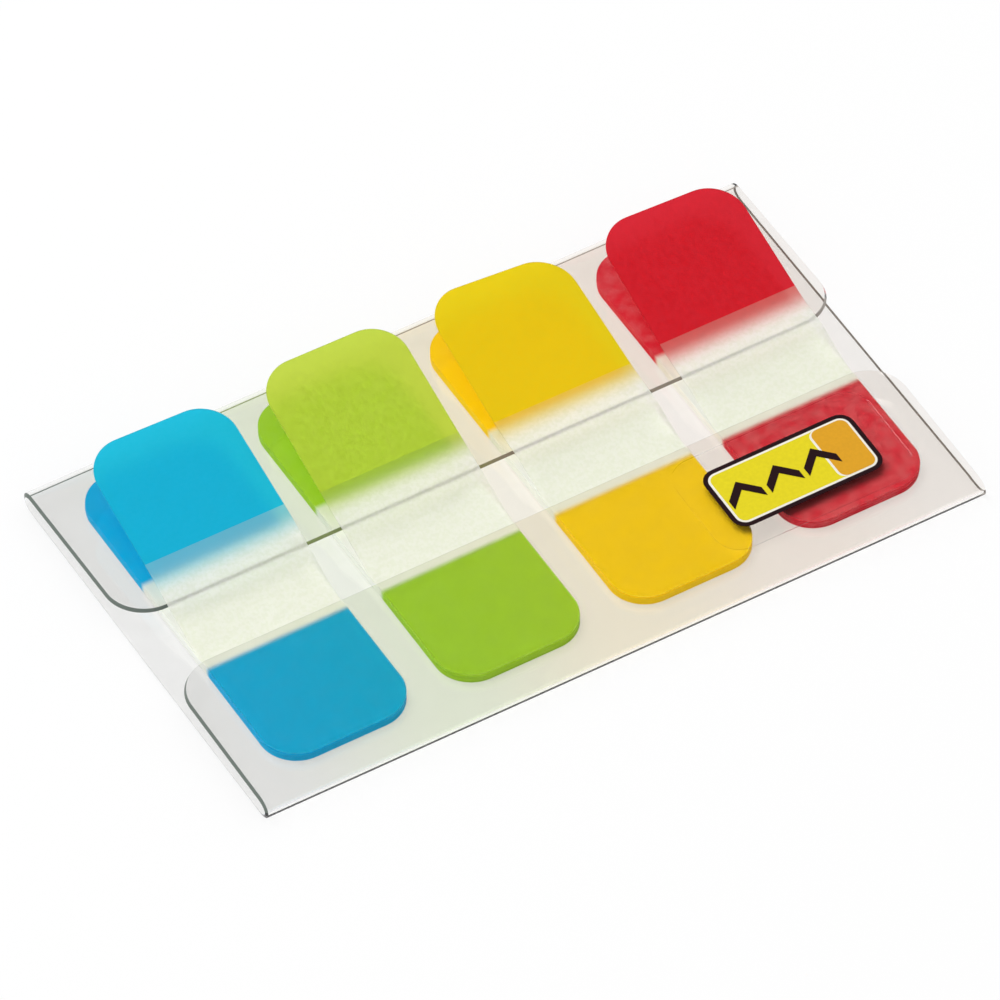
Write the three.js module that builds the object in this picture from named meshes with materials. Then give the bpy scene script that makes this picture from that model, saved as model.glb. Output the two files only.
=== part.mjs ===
// A pocket dispenser of index tabs. One clear sheet is folded over along both long edges, and
// four pads of film tabs lie on it under the two flaps. The top tab of each pad stands out through
// the slot between the flaps, ready to be pulled.
//
// Millimetres, +Z up, +X along the sleeve, +Y from the front fold to the back fold. The origin is
// on the underside of the sleeve, at its middle.

import * as THREE from 'three';

// Sleeve
const sleeveLength = 83;
const sleeveDepth = 48.6;
const sheetThickness = 0.4;
const foldReach = 1.5;
const backFoldHeight = 2.1;
const frontFoldHeight = 2.0;
const backFlapRise = 1.5;
const frontFlapRise = 1.3;
const slotWidth = 7.95;
const slotCentre = -0.88;
const flapCornerRadius = 4.4;

// Tabs, all cut alike
const tabWidth = 15.9;
const tabLength = 41.9;
const tabThickness = 0.12;
const tabCornerRadius = 4.0;
const tabsInPad = 9;
const tabGlueLine = 0.002;

// Pads on the sleeve's back sheet
const padPitch = 19.85;
const padRowCentre = 0.525;
const padToFrontFold = 4.6;

// Popped-up tabs
const liftOffSetback = 0.65;
const tabToPadGap = 0.02;
const bendRun = 4.6;

// Sticker on the front flap
const stickerLength = 22.8;
const stickerDepth = 13;
const stickerThickness = 0.08;
const stickerCornerRadius = 2.8;
const stickerToRightEnd = 4.5;
const stickerToFrontFold = 4.7;
const stickerGlueLine = 0.02;

// Finishes
const clearFilm = { color: 0xe4e8e4, roughness: 0.08, metalness: 0 };

// One entry for each colour, from left to right. asideBy is how far the hand-laid pad sits off its
// place. The popped tab crosses the back flap's edge at hover above it and at crossingAngle, ends
// at endAngle, and by its free end has leant aside by drift and dropped by twist on its right.
const colours = [
  {
    name: 'blue', finish: 0x00a8d0, asideBy: 0,
    hover: 0.6, crossingAngle: 16, endAngle: 9, twist: 0.6, drift: 0.85,
  },
  {
    name: 'green', finish: 0x9cc63a, asideBy: 0.05,
    hover: 0.55, crossingAngle: 12, endAngle: 12.5, twist: 0.3, drift: 0.7,
  },
  {
    name: 'yellow', finish: 0xeec400, asideBy: 0.2,
    hover: 0.25, crossingAngle: 4, endAngle: 12.5, twist: 1.7, drift: 0.25,
  },
  {
    name: 'red', finish: 0xd8243c, asideBy: -0.05,
    hover: 0.25, crossingAngle: 2, endAngle: 11, twist: 0.9, drift: 0.8,
  },
];

const arcSteps = 10;
const degrees = Math.PI / 180;
const clamp01 = (value) => Math.min(1, Math.max(0, value));
const ease = (value) => value * value * (3 - 2 * value);

// A sheet of even thickness as one closed solid. Each row holds its left and right points on the
// middle surface, and the rows follow one another along the sheet.
function sheetSolid(rows, thickness) {
  const along = (i) => {
    const before = rows[Math.max(i - 1, 0)];
    const after = rows[Math.min(i + 1, rows.length - 1)];
    const start = before[0].clone().add(before[1]);
    return after[0].clone().add(after[1]).sub(start);
  };
  const positions = [];
  rows.forEach((row, i) => {
    const across = row[1].clone().sub(row[0]);
    const normal = across.cross(along(i)).normalize().multiplyScalar(thickness / 2);
    const corners = [
      row[0].clone().add(normal),
      row[1].clone().add(normal),
      row[1].clone().sub(normal),
      row[0].clone().sub(normal),
    ];
    corners.forEach((corner) => positions.push(corner.x, corner.y, corner.z));
  });
  const index = [];
  const quad = (a, b, c, d) => index.push(a, b, c, a, c, d);
  for (let i = 0; i + 1 < rows.length; i += 1) {
    const here = 4 * i;
    const next = here + 4;
    for (let side = 0; side < 4; side += 1) {
      const other = (side + 1) % 4;
      quad(here + side, here + other, next + other, next + side);
    }
  }
  const last = 4 * (rows.length - 1);
  quad(3, 2, 1, 0);
  quad(last, last + 1, last + 2, last + 3);
  const geometry = new THREE.BufferGeometry();
  geometry.setAttribute('position', new THREE.Float32BufferAttribute(positions, 3));
  geometry.setIndex(index);
  geometry.computeVertexNormals();
  return geometry;
}

// How far a rounded corner draws the side in, at a distance from the end of the sheet.
function cornerInset(distance, radius) {
  const left = Math.max(radius - distance, 0);
  return radius - Math.sqrt(Math.max(radius ** 2 - left ** 2, 0));
}

// Distances from an end that follow its rounded corner in even turns.
function cornerDistances(radius) {
  const distances = [];
  for (let i = 0; i <= arcSteps; i += 1) {
    distances.push(radius * (1 - Math.cos((i / arcSteps) * 90 * degrees)));
  }
  return distances;
}

function mesh(name, geometry, finish) {
  const made = new THREE.Mesh(geometry, new THREE.MeshStandardMaterial(finish));
  made.name = name;
  return made;
}

// Heights and edges that the pieces share
const halfSheet = sheetThickness / 2;
const frontFoldLine = -sleeveDepth / 2;
const backFlapEdge = slotCentre + slotWidth / 2;
const frontFlapEdge = slotCentre - slotWidth / 2;
const padFrontEdge = frontFoldLine + padToFrontFold;
const padTop = sheetThickness + tabsInPad * (tabThickness - tabGlueLine);

// The flaps' middle surface: each rises evenly from where its fold's curve ends.
const flapRoot = sleeveDepth / 2 - halfSheet - foldReach;
const backSlope = Math.tan(backFlapRise * degrees);
const frontSlope = Math.tan(frontFlapRise * degrees);
const backFlapHeight = (y) => halfSheet + backFoldHeight + (flapRoot - y) * backSlope;
const frontFlapHeight = (y) => halfSheet + frontFoldHeight + (y + flapRoot) * frontSlope;

// The sheet runs from the front flap's free edge, round the front fold, under the pads, round the
// back fold and to the back flap's free edge.
function sleeve() {
  const rows = [];
  const row = (y, z, inset) => {
    const x = sleeveLength / 2 - inset;
    rows.push([new THREE.Vector3(x, y, z), new THREE.Vector3(-x, y, z)]);
  };
  const corner = cornerDistances(flapCornerRadius);
  corner.forEach((distance) => {
    const y = frontFlapEdge - distance;
    row(y, frontFlapHeight(y), cornerInset(distance, flapCornerRadius));
  });
  const fold = (side, height, from, to) => {
    const steps = 2 * arcSteps;
    for (let i = 0; i <= steps; i += 1) {
      const turn = (from + ((to - from) * i) / steps) * degrees;
      const y = side * (flapRoot + foldReach * Math.cos(turn));
      row(y, halfSheet + (height / 2) * (1 + Math.sin(turn)), 0);
    }
  };
  fold(-1, frontFoldHeight, 90, -90);
  fold(1, backFoldHeight, -90, 90);
  corner.reverse().forEach((distance) => {
    const y = backFlapEdge + distance;
    row(y, backFlapHeight(y), cornerInset(distance, flapCornerRadius));
  });
  return mesh('sleeve', sheetSolid(rows, sheetThickness), clearFilm);
}

// Tabs pressed together flat, coloured ends to the front and to the back in turn.
function pad(colour, left) {
  const rows = [];
  const middle = sheetThickness + (padTop - sheetThickness) / 2;
  const row = (y, inset) => {
    rows.push([
      new THREE.Vector3(left + inset, y, middle),
      new THREE.Vector3(left + tabWidth - inset, y, middle),
    ]);
  };
  const corner = cornerDistances(tabCornerRadius);
  corner.forEach((distance) => row(padFrontEdge + distance, cornerInset(distance, tabCornerRadius)));
  corner.reverse().forEach((distance) => {
    row(padFrontEdge + tabLength - distance, cornerInset(distance, tabCornerRadius));
  });
  const finish = { color: colour.finish, roughness: 0.45, metalness: 0 };
  return mesh(`pad_${colour.name}`, sheetSolid(rows, padTop - sheetThickness), finish);
}

// The middle line of a popped tab as y and z at a distance from its front end: flat on its pad, up
// through the slot, over the back flap's edge, and on to its free end.
function poppedLine(colour) {
  const lift = Math.tan(colour.crossingAngle * degrees);
  const start = { y: frontFlapEdge + liftOffSetback, z: padTop + tabToPadGap + tabThickness / 2 };
  const flapTop = backFlapHeight(backFlapEdge) + halfSheet;
  const over = { y: backFlapEdge, z: flapTop + tabThickness / 2 + colour.hover };
  const points = [{ s: 0, y: padFrontEdge, z: start.z }];
  const add = (y, z) => {
    const last = points[points.length - 1];
    points.push({ s: last.s + Math.hypot(y - last.y, z - last.z), y, z });
  };
  add(start.y, start.z);
  const run = over.y - start.y;
  const steps = 2 * arcSteps;
  for (let i = 1; i <= steps; i += 1) {
    const q = i / steps;
    const slopePart = lift * run * (q ** 3 - q ** 2);
    add(start.y + run * q, start.z + (over.z - start.z) * ease(q) + slopePart);
  }
  const crossing = points[points.length - 1].s;
  const step = (tabLength - crossing) / (2 * steps);
  for (let i = 0; i < 2 * steps; i += 1) {
    const settled = ease(clamp01(((i + 0.5) * step) / bendRun));
    const angle = (colour.crossingAngle + (colour.endAngle - colour.crossingAngle) * settled) * degrees;
    const last = points[points.length - 1];
    add(last.y + step * Math.cos(angle), last.z + step * Math.sin(angle));
  }
  return { points, crossing };
}

function poppedTab(colour, left) {
  const { points, crossing } = poppedLine(colour);
  const at = (s) => {
    const next = points.findIndex((point, i) => i > 0 && point.s >= s);
    const b = points[next < 0 ? points.length - 1 : next];
    const a = points[points.indexOf(b) - 1];
    const q = (s - a.s) / (b.s - a.s);
    return { y: a.y + (b.y - a.y) * q, z: a.z + (b.z - a.z) * q };
  };
  const corner = cornerDistances(tabCornerRadius);
  const stations = [...corner, ...corner.map((distance) => tabLength - distance)];
  points.forEach((point, i) => {
    const clear = point.s > tabCornerRadius && point.s < tabLength - tabCornerRadius;
    if (clear && i % 2 === 1) stations.push(point.s);
  });
  stations.sort((a, b) => a - b);
  const rows = stations.map((s) => {
    const { y, z } = at(s);
    const free = clamp01((s - crossing) / (tabLength - crossing));
    const inset = cornerInset(Math.min(s, tabLength - s), tabCornerRadius);
    const aside = colour.drift * free;
    const drop = (share) => colour.twist * free ** 1.5 * (0.5 - share);
    const point = (across) => new THREE.Vector3(left + aside + across, y, z + drop(across / tabWidth));
    return [point(inset), point(tabWidth - inset)];
  });
  const finish = { color: colour.finish, roughness: 0.5, metalness: 0 };
  return mesh(`top_tab_${colour.name}`, sheetSolid(rows, tabThickness), finish);
}

// A clear sticker with rounded corners, on the front flap and at its slope.
function sticker() {
  const rows = [];
  const above = halfSheet + stickerGlueLine + stickerThickness / 2;
  const lie = frontFlapRise * degrees;
  const centreX = (sleeveLength - stickerLength) / 2 - stickerToRightEnd;
  const centreY = frontFoldLine + stickerToFrontFold + stickerDepth / 2;
  const row = (along, inset) => {
    const y = centreY + along * Math.cos(lie);
    const z = frontFlapHeight(y) + above / Math.cos(lie);
    const x = stickerLength / 2 - inset;
    rows.push([new THREE.Vector3(centreX - x, y, z), new THREE.Vector3(centreX + x, y, z)]);
  };
  const corner = cornerDistances(stickerCornerRadius);
  const reach = stickerDepth / 2;
  corner.forEach((distance) => row(distance - reach, cornerInset(distance, stickerCornerRadius)));
  corner.reverse().forEach((distance) => row(reach - distance, cornerInset(distance, stickerCornerRadius)));
  return mesh('front_sticker', sheetSolid(rows, stickerThickness), clearFilm);
}

const indexTabs = new THREE.Group();
indexTabs.add(sleeve(), sticker());
colours.forEach((colour, i) => {
  const fromMiddle = i - (colours.length - 1) / 2;
  const left = padRowCentre + fromMiddle * padPitch - tabWidth / 2 + colour.asideBy;
  indexTabs.add(pad(colour, left), poppedTab(colour, left));
});

export default indexTabs;
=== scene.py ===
"""A pocket dispenser of film index tabs: a clear folded sleeve with four pads of coloured tabs.

Lengths are in millimetres until a mesh is made, +X along the sleeve, +Y from the front fold to the
back fold and +Z up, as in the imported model.
"""

import math

import bpy
from mathutils import Matrix, Vector


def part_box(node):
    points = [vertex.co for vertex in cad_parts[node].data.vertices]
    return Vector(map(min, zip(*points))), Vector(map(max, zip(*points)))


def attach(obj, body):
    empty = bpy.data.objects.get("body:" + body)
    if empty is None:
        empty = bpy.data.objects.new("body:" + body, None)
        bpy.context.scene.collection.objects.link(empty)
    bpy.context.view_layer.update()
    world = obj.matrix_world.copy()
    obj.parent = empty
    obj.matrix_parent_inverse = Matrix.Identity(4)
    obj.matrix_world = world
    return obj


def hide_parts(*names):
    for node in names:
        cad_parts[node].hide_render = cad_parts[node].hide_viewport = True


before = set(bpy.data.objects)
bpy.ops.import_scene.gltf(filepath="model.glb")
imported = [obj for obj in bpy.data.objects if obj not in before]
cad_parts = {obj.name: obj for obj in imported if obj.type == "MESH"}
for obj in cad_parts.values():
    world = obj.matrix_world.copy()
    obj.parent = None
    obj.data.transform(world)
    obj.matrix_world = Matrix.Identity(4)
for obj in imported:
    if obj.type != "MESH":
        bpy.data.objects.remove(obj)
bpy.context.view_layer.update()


# The view: a long lens above the sleeve's front left corner, as a catalogue picture is taken. Its
# place in metres and its angles were fitted to the sleeve's straight edges.
CAMERA_AZIMUTH = math.radians(-30.76)
CAMERA_ELEVATION = math.radians(48.29)
CAMERA_DISTANCE = 1.3171
CAMERA_LOOKS_AT = Vector((-0.00028, 0.00051, 0.0))
CAMERA_LENS = 475.2

towards_camera = Vector((
    math.sin(CAMERA_AZIMUTH) * math.cos(CAMERA_ELEVATION),
    -math.cos(CAMERA_AZIMUTH) * math.cos(CAMERA_ELEVATION),
    math.sin(CAMERA_ELEVATION),
))
camera = bpy.data.objects.new("camera", bpy.data.cameras.new("camera"))
camera.location = CAMERA_LOOKS_AT + CAMERA_DISTANCE * towards_camera
camera.rotation_euler = towards_camera.to_track_quat("Z", "Y").to_euler()
camera.data.sensor_width = 36.0
camera.data.lens = CAMERA_LENS
camera.data.clip_start = 0.05
bpy.context.collection.objects.link(camera)
bpy.context.scene.camera = camera
bpy.context.scene.view_settings.view_transform = "Standard"


# Studio, in metres: a white floor that stays white in the picture but keeps the soft shadow, an even
# pale sky, and one broad lamp that shows in no reflection. Film mirrors a room that is white at the
# horizon and dim above.
FLOOR_HALF = 1.5
FLOOR_DROP = 0.00002
FLOOR_SHADOW_SHARE = 0.25
SKY_LEVEL = 0.72
MIRRORED_TOP_LEVEL = 0.05
MIRRORED_TOP_FROM = 0.45
LAMP_SIZE = 0.9
LAMP_PLACE = (-0.25, 0.35, 1.1)
LAMP_POWER = 6.5
WHITE = (1, 1, 1, 1)


class Wire:
    """A node's output, with the arithmetic that the materials use on numbers."""

    def __init__(self, recipe, socket):
        self.recipe = recipe
        self.socket = socket

    def maths(self, operation, other):
        return self.recipe.node("ShaderNodeMath", {"operation": operation}, self, other)

    def __add__(self, other):
        return self.maths("ADD", other)

    def __sub__(self, other):
        return self.maths("SUBTRACT", other)

    def __rsub__(self, other):
        return self * -1 + other

    def __mul__(self, other):
        return self.maths("MULTIPLY", other)

    __radd__ = __add__
    __rmul__ = __mul__

    def ease(self, start, end):
        """0 below start, 1 above end and smooth between them."""
        settings = {"interpolation_type": "SMOOTHSTEP"}
        return self.recipe.node("ShaderNodeMapRange", settings, self, start, end, 0.0, 1.0)


class Recipe:
    """The nodes of a material, of the sky or of a geometry tree, made step by step."""

    def __init__(self, owner):
        self.owner = owner
        self.tree = owner
        if not isinstance(owner, bpy.types.NodeTree):
            owner.use_nodes = True
            self.tree = owner.node_tree
        self.tree.nodes.clear()

    def node(self, kind, settings, *values, out=0, **named):
        """A new node's output. Values go to its sockets by place or by name, with _ for a space."""
        made = self.tree.nodes.new(kind)
        for key, value in settings.items():
            setattr(made, key, value)
        for key, value in [*enumerate(values), *named.items()]:
            self.plug(made.inputs[key if isinstance(key, int) else key.replace("_", " ")], value)
        return Wire(self, made.outputs[out]) if made.outputs else None

    def plug(self, socket, value):
        """The socket takes a wire or a constant."""
        if isinstance(value, Wire):
            self.tree.links.new(value.socket, socket)
        else:
            socket.default_value = value

    def place(self, kind="Object"):
        """X, Y and Z of the point being shaded."""
        point = self.node("ShaderNodeTexCoord", {}, out=kind)
        split = self.node("ShaderNodeSeparateXYZ", {}, point).socket.node
        return [Wire(self, output) for output in split.outputs]

    def noise(self, scale, detail):
        """Soft spots about 1 / scale metres apart, the same on the piece from wherever it is seen."""
        point = self.node("ShaderNodeTexCoord", {}, out="Object")
        return self.node("ShaderNodeTexNoise", {}, Vector=point, Scale=scale, Detail=detail)

    def blend(self, share, first, second):
        """Two colours mixed by share. A Mix node's colours are its inputs 6 and 7 and its output 2."""
        made = self.node("ShaderNodeMix", {"data_type": "RGBA"}, share, out=2).socket.node
        self.plug(made.inputs[6], first)
        self.plug(made.inputs[7], second)
        return Wire(self, made.outputs[2])

    def ray(self, kind):
        """1 for this kind of ray and 0 for all others."""
        return self.node("ShaderNodeLightPath", {}, out=f"Is {kind} Ray")

    def light_passes(self, shader, tint):
        """The shader as it is, except that light on its way to what lies behind gets through."""
        clear = self.node("ShaderNodeBsdfTransparent", {}, Color=tint)
        return self.node("ShaderNodeMixShader", {}, self.ray("Shadow"), shader, clear)

    def finish(self, shader, output="ShaderNodeOutputMaterial"):
        """The material or sky, with the shader on its surface."""
        self.node(output, {}, Surface=shader)
        return self.owner


floor_mesh = bpy.data.meshes.new("floor")
floor_corners = [(FLOOR_HALF * x, FLOOR_HALF * y, 0) for x, y in ((-1, -1), (1, -1), (1, 1), (-1, 1))]
floor_mesh.from_pydata(floor_corners, [], [(0, 1, 2, 3)])
floor = bpy.data.objects.new("floor", floor_mesh)
floor.location.z = -FLOOR_DROP
bpy.context.collection.objects.link(floor)

recipe = Recipe(bpy.data.materials.new("floor_white"))
matt = recipe.node("ShaderNodeBsdfDiffuse", {}, Color=(0.9, 0.9, 0.9, 1))
glow = recipe.node("ShaderNodeEmission", {}, Color=WHITE, Strength=1.0)
seen = recipe.ray("Camera") + recipe.ray("Glossy") + recipe.ray("Transmission")
glow_share = seen.maths("MINIMUM", 1.0) * (1 - FLOOR_SHADOW_SHARE)
floor_shader = recipe.node("ShaderNodeMixShader", {}, glow_share, matt, glow)
floor_mesh.materials.append(recipe.finish(floor_shader))

recipe = Recipe(bpy.data.worlds.new("sky"))
bpy.context.scene.world = recipe.owner
in_film = recipe.ray("Glossy").maths("MAXIMUM", recipe.ray("Transmission"))
mirrored = 1 - recipe.place("Generated")[2].ease(0.0, MIRRORED_TOP_FROM) * (1 - MIRRORED_TOP_LEVEL)
level = recipe.ray("Camera") * (1 - SKY_LEVEL) + SKY_LEVEL + in_film * (mirrored - SKY_LEVEL)
sky = recipe.node("ShaderNodeBackground", {}, Color=WHITE, Strength=level)
recipe.finish(sky, "ShaderNodeOutputWorld")

lamp = bpy.data.objects.new("lamp", bpy.data.lights.new("lamp", "AREA"))
lamp.data.shape = "DISK"
lamp.data.size = LAMP_SIZE
lamp.data.energy = LAMP_POWER
lamp.location = LAMP_PLACE
lamp.rotation_euler = Vector(LAMP_PLACE).to_track_quat("Z", "Y").to_euler()
lamp.visible_glossy = False
bpy.context.collection.objects.link(lamp)


# Sleeve: one sheet of clear film, folded over along both long edges into two flaps with rounded
# corners. The folds are pressed to a blunt nose, and the flaps stand up a little towards the slot.
# Its edges are cut at a slant by the die, so that they show from above. Their dark inside is painted
# shade on some of the cut faces, with a thin painted shade line along the back crease.
SHEET_THICKNESS = 0.4
CUT_SLANT = 0.13
END_SLANT = 1.6
FOLD_REACH = 1.5
BACK_FOLD_HEIGHT = 2.1
FRONT_FOLD_HEIGHT = 2.0
BACK_FLAP_RISE = math.radians(1.5)
FRONT_FLAP_RISE = math.radians(1.3)
SLOT_WIDTH = 7.95
SLOT_CENTRE = -0.88
FLAP_CORNER_RADIUS = 4.4
ARC_STEPS = 16
SLEEVE_COLUMNS = 12
# Where the painted shade line along the back crease lies, and how wide it is.
CREASE_SHADE_REACH = 22.95
CREASE_SHADE_WIDTH = 0.16
CUT_EDGE_U = 2.0
# A cut face gets painted shade where its normal is turned further than this.
TURNED_LEFT = 0.3
TURNED_RIGHT = 0.5
TURNED_FORWARD = 0.5
# The film's colours along X, with the pads' coloured light painted in near each pad.
FILM_TINTS_WITH_PAINTED_BLEED = [(-40, "F9F9F8"), (-19, "F8FBF1"), (1, "FEFAEF"), (22, "FEF9F4"), (38, "FEFBF8")]
# Painted shade for the cut edges, in colours that also hold the pads' coloured light.
EDGE_SHADE_TINTS = [(-36, "6B756E"), (-19, "8C9A64"), (-2, "94905F"), (3, "998A78"), (40, "A09890")]

low, high = [Vector(corner) * 1000 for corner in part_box("sleeve")]
sleeve_length = high.x - low.x
half_sheet = SHEET_THICKNESS / 2
flap_root = (high.y - low.y) / 2 - half_sheet - FOLD_REACH
back_flap_edge = SLOT_CENTRE + SLOT_WIDTH / 2
front_flap_edge = SLOT_CENTRE - SLOT_WIDTH / 2


def srgb(code):
    """The linear colour of a hexadecimal one such as 00B4D8."""
    parts = [int(code[i:i + 2], 16) / 255 for i in (0, 2, 4)]
    linear = [c / 12.92 if c <= 0.04045 else ((c + 0.055) / 1.055) ** 2.4 for c in parts]
    return (*linear, 1.0)


def back_flap_height(y):
    """Height of the back flap's middle surface."""
    return half_sheet + BACK_FOLD_HEIGHT + (flap_root - y) * math.tan(BACK_FLAP_RISE)


def front_flap_height(y):
    """Height of the front flap's middle surface."""
    return half_sheet + FRONT_FOLD_HEIGHT + (y + flap_root) * math.tan(FRONT_FLAP_RISE)


def corner_inset(distance, radius):
    """How far a rounded corner draws the side in, at a distance from the end of the sheet."""
    left = max(radius - distance, 0.0)
    return radius - math.sqrt(max(radius ** 2 - left ** 2, 0.0))


def corner_distances(radius):
    """Distances from an end that follow its rounded corner in even turns."""
    return [radius * (1 - math.cos(math.pi / 2 * i / ARC_STEPS)) for i in range(ARC_STEPS + 1)]


def row_across(y, z, half_width, columns, middle=0.0):
    """Points across the sheet at one height, from left to right."""
    return [Vector((middle + half_width * (2 * j / columns - 1), y, z)) for j in range(columns + 1)]


def surface(rows, offset):
    """The grid's points moved out along its normals, in metres."""
    last_row = len(rows) - 1
    last_column = len(rows[0]) - 1
    points = []
    for i, row in enumerate(rows):
        for j, point in enumerate(row):
            along = rows[min(i + 1, last_row)][j] - rows[max(i - 1, 0)][j]
            across = row[min(j + 1, last_column)] - row[max(j - 1, 0)]
            points.append((point + across.cross(along).normalized() * offset) / 1000)
    return points


def closed_grid(last_row, last_column):
    """Faces of an upper and a lower grid with a wall round the rim, and the rim's edges in order."""
    columns = last_column + 1
    count = (last_row + 1) * columns
    faces = []
    for i in range(last_row):
        for j in range(last_column):
            a = i * columns + j
            quad = (a, a + 1, a + 1 + columns, a + columns)
            faces += [quad, tuple(count + index for index in reversed(quad))]
    rim = list(range(last_column))
    rim += [i * columns + last_column for i in range(last_row)]
    rim += [last_row * columns + j for j in range(last_column, 0, -1)]
    rim += [i * columns for i in range(last_row, 0, -1)]
    rim_edges = list(zip(rim, rim[1:] + rim[:1]))
    faces += [(b, a, count + a, count + b) for a, b in rim_edges]
    return faces, rim_edges


def sheet_piece(name, rows_at, thickness, slant, materials, slot_of):
    """A closed sheet of even thickness, whose upper face is smaller all round by slant.

    rows_at(inset) gives the rows of its middle surface. UV runs from 0 to 1 across and along the
    sheet, and from CUT_EDGE_U up across its cut edge. slot_of(face, v) gives a face's material
    slot, with v None on the cut edge.
    """
    rows = rows_at(0.0)
    lower = surface(rows, -thickness / 2)
    upper = surface(rows_at(slant), thickness / 2)
    last_column = len(rows[0]) - 1
    count = len(lower)
    lengths = [0.0]
    for before, after in zip(rows, rows[1:]):
        lengths.append(lengths[-1] + (after[0] + after[-1] - before[0] - before[-1]).length / 2)
    spots = [(j / last_column, length / lengths[-1]) for length in lengths for j in range(len(rows[0]))]
    faces, rim_edges = closed_grid(len(rows) - 1, last_column)
    wall_starts = len(faces) - len(rim_edges)

    mesh = bpy.data.meshes.new(name)
    mesh.from_pydata(upper + lower, [], faces)
    for material in materials:
        mesh.materials.append(material)
    layer = mesh.uv_layers.new(name="sheet")
    for loop in mesh.loops:
        layer.data[loop.index].uv = spots[loop.vertex_index % count]
    for polygon in mesh.polygons[wall_starts:]:
        for loop in polygon.loop_indices:
            layer.data[loop].uv.x += CUT_EDGE_U
    mesh.update()
    for polygon in mesh.polygons:
        polygon.use_smooth = True
        middle = sum(spots[index % count][1] for index in polygon.vertices) / len(polygon.vertices)
        polygon.material_index = slot_of(polygon, None if polygon.index >= wall_starts else middle)
    sharp = {frozenset(pair) for pair in rim_edges}
    sharp |= {frozenset((a + count, b + count)) for a, b in rim_edges}
    for edge in mesh.edges:
        edge.use_edge_sharp = frozenset(edge.vertices) in sharp
    piece = bpy.data.objects.new(name, mesh)
    bpy.context.collection.objects.link(piece)
    return piece


def stands_for(piece, node):
    """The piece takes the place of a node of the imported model."""
    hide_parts(node)
    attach(piece, "root")


def along_sleeve(recipe, tints):
    """A colour that changes smoothly along X through (millimetres, colour) pairs."""
    x = recipe.place()[0]
    colour = srgb(tints[0][1])
    for (start, _), (end, code) in zip(tints, tints[1:]):
        colour = recipe.blend(x.ease(start / 1000, end / 1000), colour, srgb(code))
    return colour


def clear_film():
    """Clear film, a little uneven from the roll, with a breath of the pads' coloured light painted into
    its colour.
    """
    recipe = Recipe(bpy.data.materials.new("clear_film"))
    waves = recipe.noise(60.0, 2.0)
    ripple = recipe.node("ShaderNodeBump", {}, Strength=0.02, Distance=0.0005, Height=waves)
    film = recipe.node(
        "ShaderNodeBsdfPrincipled", {}, Base_Color=along_sleeve(recipe, FILM_TINTS_WITH_PAINTED_BLEED), Roughness=0.04,
        IOR=1.5, Transmission_Weight=1.0, Normal=ripple)
    return recipe.finish(recipe.light_passes(film, (0.96, 0.96, 0.955, 1)))


def cut_edge_shade():
    """The film's cut edge, painted dark as shade and tinted with painted light from the pad beside it.
    """
    recipe = Recipe(bpy.data.materials.new("cut_edge_shade"))
    return recipe.finish(recipe.node(
        "ShaderNodeBsdfPrincipled", {}, Base_Color=along_sleeve(recipe, EDGE_SHADE_TINTS), Roughness=0.3,
        IOR=1.3))


def sleeve_slot(face, v):
    """1 where the film gets painted shade: at its slanted ends, the front flap's edge and a strip along
    the back crease.
    """
    z = face.center.z * 1000
    if v is not None:
        off_crease = abs(face.center.y * 1000 - CREASE_SHADE_REACH)
        return int(off_crease < CREASE_SHADE_WIDTH / 2 and z > BACK_FOLD_HEIGHT)
    on_flap = z > SHEET_THICKNESS + FRONT_FOLD_HEIGHT / 2
    if on_flap:
        return int(face.normal.x < -TURNED_LEFT or face.normal.y < -TURNED_FORWARD)
    return int(face.normal.x > TURNED_RIGHT)


def sleeve_rows(inset):
    """The sheet from the front flap's free edge round both folds to the back flap's."""
    rows = []
    turn = FLAP_CORNER_RADIUS - inset
    half_length = sleeve_length / 2 - inset * END_SLANT
    back_half_length = sleeve_length / 2 - inset
    for distance in corner_distances(turn):
        y = front_flap_edge - inset - distance
        half_width = half_length - corner_inset(distance, turn)
        rows.append(row_across(y, front_flap_height(y), half_width, SLEEVE_COLUMNS))
    fold_steps = 2 * ARC_STEPS
    for side, height in ((-1, FRONT_FOLD_HEIGHT), (1, BACK_FOLD_HEIGHT)):
        for i in range(fold_steps + 1):
            bend = math.pi * (0.5 - i / fold_steps) * -side
            y = side * (flap_root + FOLD_REACH * math.cos(bend))
            rise = (1 + math.sin(bend)) / 2
            half_width = back_half_length + (half_length - back_half_length) * rise
            rows.append(row_across(y, half_sheet + height * rise, half_width, SLEEVE_COLUMNS))
    for distance in reversed(corner_distances(turn)):
        y = back_flap_edge + inset + distance
        half_width = half_length - corner_inset(distance, turn)
        rows.append(row_across(y, back_flap_height(y), half_width, SLEEVE_COLUMNS))
    return [list(reversed(row)) for row in rows]


sleeve_films = [clear_film(), cut_edge_shade()]
sleeve = sheet_piece("clear_sleeve", sleeve_rows, SHEET_THICKNESS, CUT_SLANT, sleeve_films, sleeve_slot)
stands_for(sleeve, "sleeve")


# Pads: tabs pressed together in a block that lies on the sleeve's back sheet. Each tab is frosted
# film, coloured at one end, and the ends lie to the front and to the back in turn, so that a pad
# is coloured at both. The tabs are a few hundredths of a millimetre out of line.
TAB_CORNER_RADIUS = 4.0
COLOURED_LENGTH = 14.3
LAYERS = 9
LAYER_FILL = 0.9
PAD_COLUMNS = 4
PAD_CUTS = 12
# Strength of the glow painted on the pads' cut edges.
CUT_EDGE_PAINTED_GLOW = 0.3
FROSTED_TINT = "F0F1E8"
BLACK = (0, 0, 0, 1)
# The ink's end fades over these shares of a tab's length, past its nominal end and short of it.
INK_OVER = 0.016
INK_UNDER = 0.006
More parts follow.
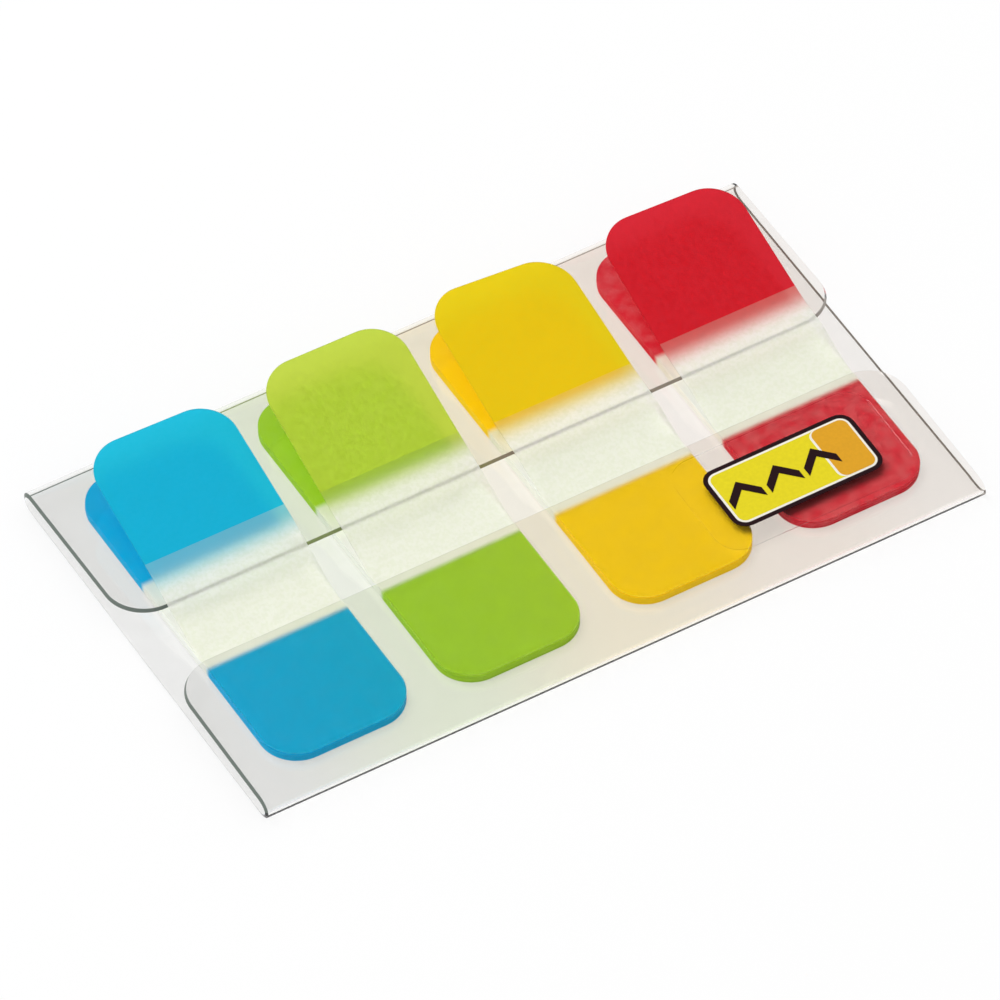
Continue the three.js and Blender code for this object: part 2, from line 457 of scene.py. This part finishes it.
# Lit is the light that gets through a pad. Shift is how far its tabs are out of line.
PADS = {
    "blue": {"tint": "00AFE4", "lit": (0.55, 0.85, 0.95, 1), "mottle": 0.01, "shift": 0.02},
    "green": {"tint": "A6D32C", "lit": (0.85, 0.95, 0.6, 1), "mottle": 0.02, "shift": 0.025},
    "yellow": {"tint": "FFD500", "lit": (0.97, 0.9, 0.5, 1), "mottle": 0.01, "shift": 0.02},
    "red": {"tint": "DA2438", "lit": (0.95, 0.7, 0.68, 1), "mottle": 0.07, "shift": 0.05},
}


def rounded_plan(low, high, radius, height, inset):
    """Rows of a sheet with four round corners, from front to back, inset from its outline."""
    length = high.y - low.y - 2 * inset
    turn = radius - inset
    ends = corner_distances(turn)
    stations = ends + [length - distance for distance in reversed(ends)]
    stations += [length * i / PAD_CUTS for i in range(1, PAD_CUTS)]
    rows = []
    for distance in sorted(stations):
        half_width = (high.x - low.x) / 2 - inset - corner_inset(min(distance, length - distance), turn)
        y = low.y + inset + distance
        rows.append(row_across(y, height(y), half_width, PAD_COLUMNS, (low.x + high.x) / 2))
    return rows


def pad_film(colour, tab_length):
    """Pressed tabs seen from above: coloured at both ends, frosted and colourless between them.

    Their cut edges carry a faint painted glow in the tabs' colour, for the light the film gathers.
    """
    pad = PADS[colour]
    recipe = Recipe(bpy.data.materials.new(f"{colour}_pad_film"))
    across, from_front, _ = recipe.place("UV")
    share = COLOURED_LENGTH / tab_length
    coloured = 1 - from_front.ease(share - INK_UNDER, share + INK_OVER)
    coloured = coloured + from_front.ease(1 - share - INK_OVER, 1 - share + INK_UNDER)
    mottle = recipe.noise(700.0, 4.0).ease(0.3, 0.7)
    inked = recipe.blend(mottle * pad["mottle"], srgb(pad["tint"]), WHITE)
    tint = recipe.blend(coloured, srgb(FROSTED_TINT), inked)
    # The pads' cut edges get a painted glow in their own colour.
    glowing_cut_edge = across.maths("GREATER_THAN", (1 + CUT_EDGE_U) / 2)
    shader = recipe.node(
        "ShaderNodeBsdfPrincipled", {}, Base_Color=tint, Roughness=0.45, IOR=1.2,
        Emission_Color=recipe.blend(glowing_cut_edge, BLACK, tint), Emission_Strength=CUT_EDGE_PAINTED_GLOW)
    return recipe.finish(recipe.light_passes(shader, pad["lit"]))


def stacking_tree():
    """Copies of one tab stacked on each other, every second one turned end for end."""
    recipe = Recipe(bpy.data.node_groups.new("stacked_tabs", "GeometryNodeTree"))
    kinds = {
        "Tab": "Geometry", "Layers": "Int", "Step": "Float", "Shift": "Float", "Seed": "Int",
        "Film": "Material"}
    for name, kind in kinds.items():
        recipe.tree.interface.new_socket(name, in_out="INPUT", socket_type=f"NodeSocket{kind}")
    recipe.tree.interface.new_socket("Pad", in_out="OUTPUT", socket_type="NodeSocketGeometry")
    given = {name: recipe.node("NodeGroupInput", {}, out=name) for name in kinds}
    rise = recipe.node("ShaderNodeCombineXYZ", {}, Z=given["Step"])
    line = recipe.node("GeometryNodeMeshLine", {}, Count=given["Layers"], Offset=rise)
    half_turns = recipe.node("GeometryNodeInputIndex", {}) * math.pi
    turn = recipe.node("ShaderNodeCombineXYZ", {}, Z=half_turns)
    stack = recipe.node(
        "GeometryNodeInstanceOnPoints", {}, Points=line, Instance=given["Tab"], Rotation=turn)
    apart = recipe.node(
        "FunctionNodeRandomValue", {"data_type": "FLOAT_VECTOR"}, (-1, -1, 0), (1, 1, 0),
        Seed=given["Seed"])
    shift = recipe.node("ShaderNodeVectorMath", {"operation": "SCALE"}, apart, Scale=given["Shift"])
    moved = recipe.node(
        "GeometryNodeTranslateInstances", {}, Instances=stack, Translation=shift, Local_Space=False)
    joined = recipe.node("GeometryNodeRealizeInstances", {}, moved)
    painted = recipe.node("GeometryNodeSetMaterial", {}, Geometry=joined, Material=given["Film"])
    recipe.node("NodeGroupOutput", {}, painted)
    return recipe.tree


def made_by(tree, piece, values):
    """The piece becomes a plain mesh, as the geometry tree leaves it."""
    modifier = piece.modifiers.new(tree.name, "NODES")
    modifier.node_group = tree
    for item in tree.interface.items_tree:
        if item.name in values:
            modifier[item.identifier] = values[item.name]
    graph = bpy.context.evaluated_depsgraph_get()
    mesh = bpy.data.meshes.new_from_object(piece.evaluated_get(graph), depsgraph=graph)
    piece.modifiers.clear()
    piece.data = mesh


def pad_of_tabs(colour, seed, stacked_tabs):
    """One pad: a tab made around the origin, stacked, and then put in the pad's place."""
    low, high = [Vector(corner) * 1000 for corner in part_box(f"pad_{colour}")]
    half = (high - low) / 2
    middle = (low + high) / 2
    step = 2 * half.z / LAYERS

    def tab_rows(inset):
        return rounded_plan(-half, half, TAB_CORNER_RADIUS, lambda y: 0.0, inset)

    film = pad_film(colour, 2 * half.y)
    pad = sheet_piece(f"{colour}_pad", tab_rows, step * LAYER_FILL, 0.0, [film], lambda face, v: 0)
    made_by(stacked_tabs, pad, {
        "Layers": LAYERS, "Step": step / 1000, "Shift": PADS[colour]["shift"] / 1000, "Seed": seed,
        "Film": film})
    pad.data.transform(Matrix.Translation(Vector((middle.x, middle.y, low.z + step / 2)) / 1000))
    stands_for(pad, f"pad_{colour}")


stacked_tabs = stacking_tree()
for seed, colour in enumerate(PADS, 1):
    pad_of_tabs(colour, seed, stacked_tabs)


# Popped-up tabs: the top tab of each pad, frosted film with its coloured end free. It rises through
# the slot, crosses the back flap's edge and stands off the flap. Its slopes at the crossing and at
# the end are in degrees, and what else describes its bend in millimetres.
TAB_THICKNESS = 0.12
TAB_TO_PAD_GAP = 0.02
LIFT_OFF_SETBACK = 0.65
BEND_RUN = 4.6
POPPED_COLUMNS = 8
POPPED_STEPS = 24
POPPED = {
    "blue": {"hover": 0.6, "crossing": 16, "end": 9, "twist": 0.6, "drift": 0.85, "inked": 14.3},
    "green": {"hover": 0.55, "crossing": 12, "end": 12.5, "twist": 0.3, "drift": 0.7, "inked": 14.75},
    "yellow": {"hover": 0.25, "crossing": 4, "end": 12.5, "twist": 1.7, "drift": 0.25, "inked": 15.2},
    "red": {"hover": 0.25, "crossing": 2, "end": 11, "twist": 0.9, "drift": 0.8, "inked": 14.6},
}
# Linear colours of the light that scatters back, that passes to the eye and that reaches what lies
# behind, and the coloured glow that is painted into the frosted film beside the ink.
TAB_INKS = {
    "blue": {
        "scattered": (0.0, 0.60, 0.80, 1), "passed": (0.04, 0.56, 0.71, 1),
        "lit": (0.75, 0.93, 0.97, 1), "glow": (0.28, 0.70, 0.78, 1)},
    "green": {
        "scattered": (0.51, 0.63, 0.05, 1), "passed": (0.80, 0.92, 0.16, 1),
        "lit": (0.90, 0.97, 0.70, 1), "glow": (0.58, 0.70, 0.12, 1)},
    "yellow": {
        "scattered": (0.78, 0.70, 0.0, 1), "passed": (0.98, 0.68, 0.02, 1),
        "lit": (0.98, 0.93, 0.60, 1), "glow": (0.88, 0.70, 0.10, 1)},
    "red": {
        "scattered": (0.70, 0.01, 0.025, 1), "passed": (0.82, 0.05, 0.08, 1),
        "lit": (0.95, 0.75, 0.75, 1), "glow": (0.80, 0.25, 0.23, 1)},
}
INK_SCATTER_SHARE = 0.48
INK_GRAIN = 0.25
INK_MILK = 0.3
FROSTED_MILK = 0.32
# Shares of a tab's length between which the painted glow and the milky stretch set in and end.
INK_PAINTED_GLOW_REACH = (0.565, 0.645)
MILK_STARTS = (0.5, 0.56)
MILK_ENDS = (0.585, 0.63)


def frosted_film(colour):
    """Frosted film: a fine grain, milky where it bends, with the ink's coloured light painted in close
    to the ink.
    """
    recipe = Recipe(bpy.data.materials.new(f"{colour}_frosted_film"))
    along = recipe.place("UV")[1]
    grain = recipe.noise(2500.0, 4.0).ease(0.35, 0.65)
    near_ink = along.ease(*INK_PAINTED_GLOW_REACH)
    frosting = recipe.blend(grain, srgb("F3F5EC"), srgb("FEFEFB"))
    # Painted coloured glow: beside the ink the film's colour turns to the ink's glow colour.
    frosting = recipe.blend(near_ink, frosting, TAB_INKS[colour]["glow"])
    through = recipe.node(
        "ShaderNodeBsdfPrincipled", {}, Base_Color=frosting, Roughness=0.6, IOR=1.2,
        Transmission_Weight=1.0)
    milky = recipe.node("ShaderNodeBsdfPrincipled", {}, Base_Color=frosting, Roughness=0.5, IOR=1.2)
    over_edge = along.ease(*MILK_STARTS) - along.ease(*MILK_ENDS)
    milk_share = over_edge * FROSTED_MILK + near_ink * INK_MILK
    frosted = recipe.node("ShaderNodeMixShader", {}, milk_share, through, milky)
    return recipe.finish(recipe.light_passes(frosted, (0.98, 0.98, 0.975, 1)))


def inked_film(colour):
    """Frosted film with coloured ink: some light scatters back and the rest goes through, tinted."""
    recipe = Recipe(bpy.data.materials.new(f"{colour}_tab_film"))
    inks = TAB_INKS[colour]
    grain = recipe.noise(1800.0, 3.0).ease(0.3, 0.7)
    uneven = grain * INK_GRAIN
    passed = recipe.blend(uneven, inks["passed"], inks["scattered"])
    scattered = recipe.blend(uneven, inks["scattered"], inks["passed"])
    through = recipe.node(
        "ShaderNodeBsdfPrincipled", {}, Base_Color=passed, Roughness=grain * 0.1 + 0.55, IOR=1.2,
        Transmission_Weight=1.0)
    back = recipe.node(
        "ShaderNodeBsdfPrincipled", {}, Base_Color=scattered, Roughness=grain * 0.1 + 0.45, IOR=1.2)
    film = recipe.node("ShaderNodeMixShader", {}, INK_SCATTER_SHARE, through, back)
    return recipe.finish(recipe.light_passes(film, inks["lit"]))


def stuck_film():
    """The end that is still stuck to the pad: its glue wets the frosting, which turns almost clear."""
    recipe = Recipe(bpy.data.materials.new("stuck_film"))
    tint = recipe.blend(recipe.noise(2200.0, 3.0), srgb("F6F7F0"), srgb("FFFFFC"))
    stuck = recipe.node(
        "ShaderNodeBsdfPrincipled", {}, Base_Color=tint, Roughness=0.3, IOR=1.04,
        Transmission_Weight=1.0)
    return recipe.finish(recipe.light_passes(stuck, (0.99, 0.99, 0.985, 1)))


def smooth(value):
    """0 below 0, 1 above 1 and smooth between them."""
    value = min(max(value, 0.0), 1.0)
    return value * value * (3 - 2 * value)


def popped_line(bend, front, pad_top, length):
    """The middle line of a popped tab: (distance from its front end, y, z) and where it crosses."""
    lift = math.tan(math.radians(bend["crossing"]))
    start_y = front_flap_edge + LIFT_OFF_SETBACK
    start_z = pad_top + TAB_TO_PAD_GAP + TAB_THICKNESS / 2
    over_z = back_flap_height(back_flap_edge) + half_sheet + TAB_THICKNESS / 2 + bend["hover"]
    line = [(0.0, front, start_z), (start_y - front, start_y, start_z)]
    run = back_flap_edge - start_y
    for i in range(1, POPPED_STEPS + 1):
        q = i / POPPED_STEPS
        y = start_y + run * q
        z = start_z + (over_z - start_z) * smooth(q) + lift * run * (q ** 3 - q ** 2)
        line.append((line[-1][0] + math.hypot(y - line[-1][1], z - line[-1][2]), y, z))
    crossing = line[-1][0]
    step = (length - crossing) / POPPED_STEPS
    for i in range(POPPED_STEPS):
        settled = smooth((i + 0.5) * step / BEND_RUN)
        angle = math.radians(bend["crossing"] + (bend["end"] - bend["crossing"]) * settled)
        s, y, z = line[-1]
        line.append((s + step, y + step * math.cos(angle), z + step * math.sin(angle)))
    return line, crossing


def point_on(line, s):
    """y and z on the line at a distance s along it."""
    i = next((i for i, point in enumerate(line[1:], 1) if point[0] >= s), len(line) - 1)
    before, after = line[i - 1], line[i]
    q = (s - before[0]) / (after[0] - before[0])
    return before[1] + (after[1] - before[1]) * q, before[2] + (after[2] - before[2]) * q


def popped_tab(colour, stuck_end):
    """One popped-up tab, from the end that is stuck to its pad to the free coloured end."""
    bend = POPPED[colour]
    low, high = [Vector(corner) * 1000 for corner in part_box(f"pad_{colour}")]
    width = high.x - low.x
    tab_length = high.y - low.y
    line, crossing = popped_line(bend, low.y, high.z, tab_length)
    ink_starts = tab_length - bend["inked"]
    inked_from = point_on(line, ink_starts)[0]

    def tab_rows(inset):
        ends = corner_distances(TAB_CORNER_RADIUS)
        stations = ends + [tab_length - distance for distance in ends] + [ink_starts]
        stations += [s for s, _, _ in line if TAB_CORNER_RADIUS < s < tab_length - TAB_CORNER_RADIUS]
        rows = []
        for s in sorted(stations):
            y, z = point_on(line, s)
            free = max((s - crossing) / (tab_length - crossing), 0.0)
            half_width = width / 2 - corner_inset(min(s, tab_length - s), TAB_CORNER_RADIUS)
            row = row_across(y, z, half_width, POPPED_COLUMNS)
            for point in row:
                point.z -= bend["twist"] * free ** 1.5 * point.x / width
                point.x += (low.x + high.x) / 2 + bend["drift"] * free
            rows.append(row)
        return rows

    def tab_slot(face, v):
        """0 frosted, 1 coloured, and 2 where the tab is still stuck to its pad."""
        y = face.center.y * 1000
        return 2 if y < front_flap_edge else int(y > inked_from)

    films = [frosted_film(colour), inked_film(colour), stuck_end]
    tab = sheet_piece(f"{colour}_top_tab", tab_rows, TAB_THICKNESS, 0.0, films, tab_slot)
    stands_for(tab, f"top_tab_{colour}")


stuck_end = stuck_film()
for colour in POPPED:
    popped_tab(colour, stuck_end)


# Sticker: a clear label with rounded corners on the front flap. It is printed with a plain panel:
# a dark border, a white line, a yellow field with an amber end, and three marks that point to the
# slot. Each colour is a thin coat of ink on the one before.
STICKER_THICKNESS = 0.08
STICKER_GLUE_LINE = 0.02
STICKER_CORNER_RADIUS = 2.8
INK_COAT = 0.012
INK_LIFT = 0.002
INK_SPECKLE = 0.16
PANEL_LENGTH = 17.4
PANEL_DEPTH = 8.2
PANEL_CORNER_RADIUS = 1.6
PANEL_CORNER_STEPS = 6
BORDER_WIDTH = 0.5
LINE_WIDTH = 0.25
AMBER_LENGTH = 5.6
MARK_REACH = 1.9
MARK_STROKE = 1.2
MARK_PITCH = 4.37
MARKS_LEFT_OF_MIDDLE = 1.4
DARK_INK = "2A161A"
WHITE_INK = "F4F0E4"
YELLOW_INK = "E8D81C"
AMBER_INK = "E2A422"

sticker_low, sticker_high = [Vector(corner) * 1000 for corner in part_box("front_sticker")]
sticker_middle = (sticker_low + sticker_high) / 2


def sticker_top(y):
    """Height of the sticker's upper face."""
    return front_flap_height(y) + half_sheet + STICKER_GLUE_LINE + STICKER_THICKNESS


def sticker_rows(inset):
    """The sticker's middle surface, at the flap's slope."""
    def height(y):
        return sticker_top(y) - STICKER_THICKNESS / 2

    return rounded_plan(sticker_low, sticker_high, STICKER_CORNER_RADIUS, height, inset)


def label_film():
    """Clear label film with a faint haze in its gloss."""
    recipe = Recipe(bpy.data.materials.new("label_film"))
    haze = recipe.noise(300.0, 3.0)
    label = recipe.node(
        "ShaderNodeBsdfPrincipled", {}, Base_Color=WHITE, Roughness=haze * 0.06, IOR=1.2,
        Transmission_Weight=1.0)
    return recipe.finish(recipe.light_passes(label, (0.995, 0.995, 0.99, 1)))


def round_corners(corners, radius):
    """A closed outline through the corners, anticlockwise, each square corner rounded."""
    outline = []
    for i, corner in enumerate(corners):
        spot = Vector(corner)
        back = (Vector(corners[i - 1]) - spot).normalized() * radius
        ahead = (Vector(corners[(i + 1) % len(corners)]) - spot).normalized() * radius
        for k in range(PANEL_CORNER_STEPS + 1):
            turn = math.pi / 2 * k / PANEL_CORNER_STEPS
            outline.append(tuple(spot + back * (1 - math.sin(turn)) + ahead * (1 - math.cos(turn))))
    return outline


def panel_outline(inset, left=0.0):
    """The printed panel's outline, smaller all round by inset, from a distance off its left end."""
    x = PANEL_LENGTH / 2 - inset
    y = PANEL_DEPTH / 2 - inset
    return round_corners([(left - x, -y), (x, -y), (x, y), (left - x, y)], PANEL_CORNER_RADIUS - inset)


def mark_outline(middle):
    """A chevron that points to the slot, as two strokes that meet at its middle."""
    top = MARK_REACH / 2
    half_stroke = MARK_STROKE / 2
    left = middle - MARK_REACH
    right = middle + MARK_REACH
    return [
        (middle, top + half_stroke), (left, half_stroke - top), (left, -top - half_stroke),
        (middle, top - half_stroke), (right, -top - half_stroke), (right, half_stroke - top)]


def ink(name, outline, coat, colour):
    """One coat of ink with this outline, around the sticker's middle."""
    count = len(outline)
    points = []
    for level in (0, 1):
        for x, y in outline:
            place = Vector((sticker_middle.x + x, sticker_middle.y + y, 0))
            place.z = sticker_top(place.y) + INK_LIFT + INK_COAT * (coat + level)
            points.append(place / 1000)
    faces = [tuple(range(count - 1, -1, -1)), tuple(range(count, 2 * count))]
    faces += [(i, (i + 1) % count, count + (i + 1) % count, count + i) for i in range(count)]
    mesh = bpy.data.meshes.new(name)
    mesh.from_pydata(points, [], faces)

    recipe = Recipe(bpy.data.materials.new(f"{name}_ink"))
    speckle = recipe.noise(2600.0, 2.0) * INK_SPECKLE
    tint = recipe.blend(speckle, srgb(colour), (0.02, 0.01, 0.01, 1))
    mesh.materials.append(recipe.finish(
        recipe.node("ShaderNodeBsdfPrincipled", {}, Base_Color=tint, Roughness=0.35, IOR=1.3)))
    piece = bpy.data.objects.new(name, mesh)
    bpy.context.collection.objects.link(piece)
    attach(piece, "root")


sticker = sheet_piece(
    "clear_sticker", sticker_rows, STICKER_THICKNESS, 0.0, [label_film()], lambda face, v: 0)
stands_for(sticker, "front_sticker")

field_inset = BORDER_WIDTH + LINE_WIDTH
amber_starts = PANEL_LENGTH - AMBER_LENGTH
ink("panel_border", panel_outline(0.0), 0, DARK_INK)
ink("panel_line", panel_outline(BORDER_WIDTH), 1, WHITE_INK)
ink("panel_field", panel_outline(field_inset), 2, YELLOW_INK)
ink("panel_split", panel_outline(field_inset, amber_starts - LINE_WIDTH), 3, WHITE_INK)
ink("panel_end", panel_outline(field_inset, amber_starts), 4, AMBER_INK)
for number in (1, 2, 3):
    middle = (number - 2) * MARK_PITCH - MARKS_LEFT_OF_MIDDLE
    ink(f"panel_mark_{number}", mark_outline(middle), 5, DARK_INK)
